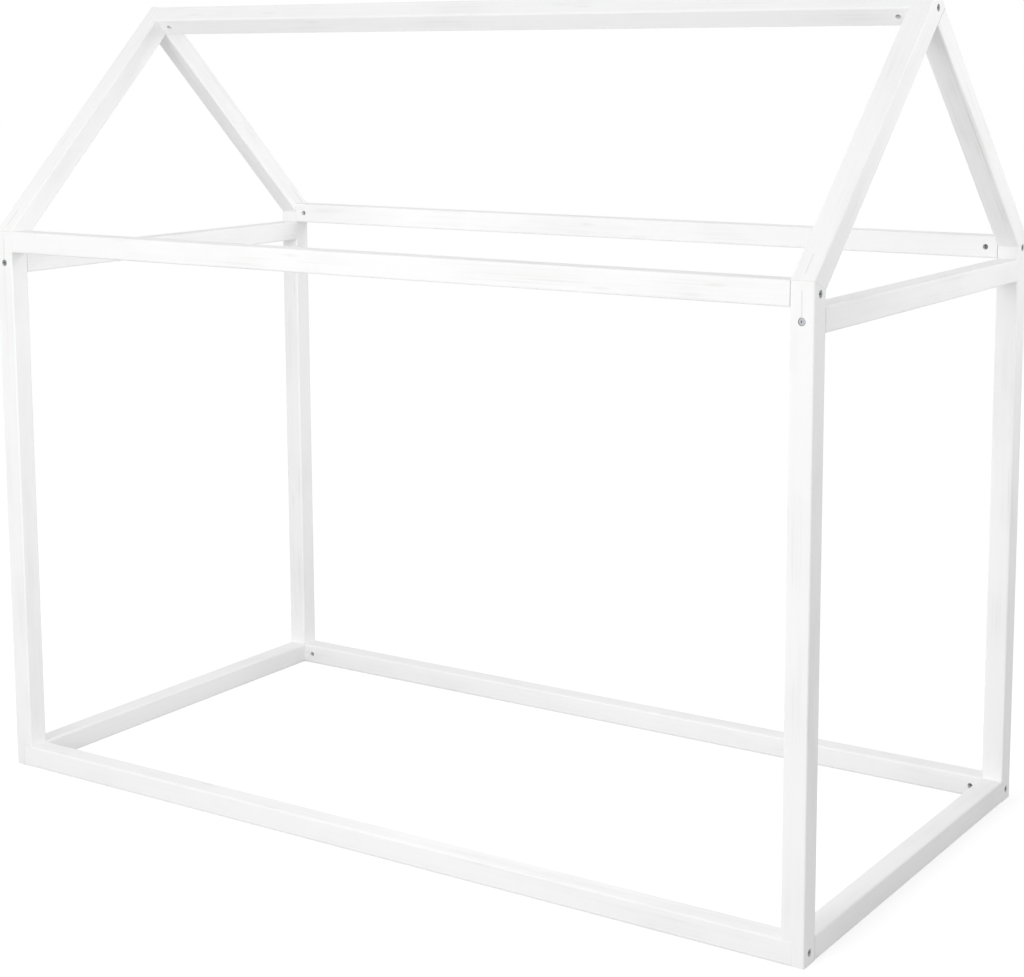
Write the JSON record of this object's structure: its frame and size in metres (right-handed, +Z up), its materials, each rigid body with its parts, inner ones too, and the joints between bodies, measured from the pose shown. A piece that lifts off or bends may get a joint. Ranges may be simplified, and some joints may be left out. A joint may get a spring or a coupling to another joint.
{
  "type": "house frame bed",
  "caption": "House-shaped frame for a bed on the floor: square white timber posts and rails with a pitched roof outline and a ridge beam, open on every side.",
  "frame": {"origin": "on the floor at the middle of the bed's outline", "axes": "+X runs along the bed to its right end, +Y to its back and +Z up; the ridge beam lies along X"},
  "size_m": [1.7, 0.88, 1.475],
  "materials": {
    "white_painted_pine": "matte white paint",
    "zinc_plated_steel": "zinc plated",
    "beech": "bare"
  },
  "bodies": {
    "root": {"ridge_beam": "white_painted_pine", "front_top_rail": "white_painted_pine", "front_bottom_rail": "white_painted_pine", "back_top_rail": "white_painted_pine", "back_bottom_rail": "white_painted_pine", "left_top_rail": "white_painted_pine", "left_bottom_rail": "white_painted_pine", "right_top_rail": "white_painted_pine", "right_bottom_rail": "white_painted_pine", "front_left_post": "white_painted_pine", "front_right_post": "white_painted_pine", "back_left_post": "white_painted_pine", "back_right_post": "white_painted_pine", "front_left_rafter": "white_painted_pine", "front_right_rafter": "white_painted_pine", "back_left_rafter": "white_painted_pine", "back_right_rafter": "white_painted_pine", "corner_keys": "white_painted_pine", "long_top_rail_bolts": "zinc_plated_steel", "long_bottom_rail_bolts": "zinc_plated_steel", "short_top_rail_bolts": "zinc_plated_steel", "ridge_bolts": "zinc_plated_steel", "long_top_rail_nuts": "zinc_plated_steel", "long_bottom_rail_nuts": "zinc_plated_steel", "short_top_rail_nuts": "zinc_plated_steel", "ridge_nuts": "zinc_plated_steel", "long_top_rail_dowels": "beech", "short_top_rail_dowels": "beech", "short_bottom_rail_dowels": "beech", "roof_point_dowels": "beech"}
  },
  "joints": []
}
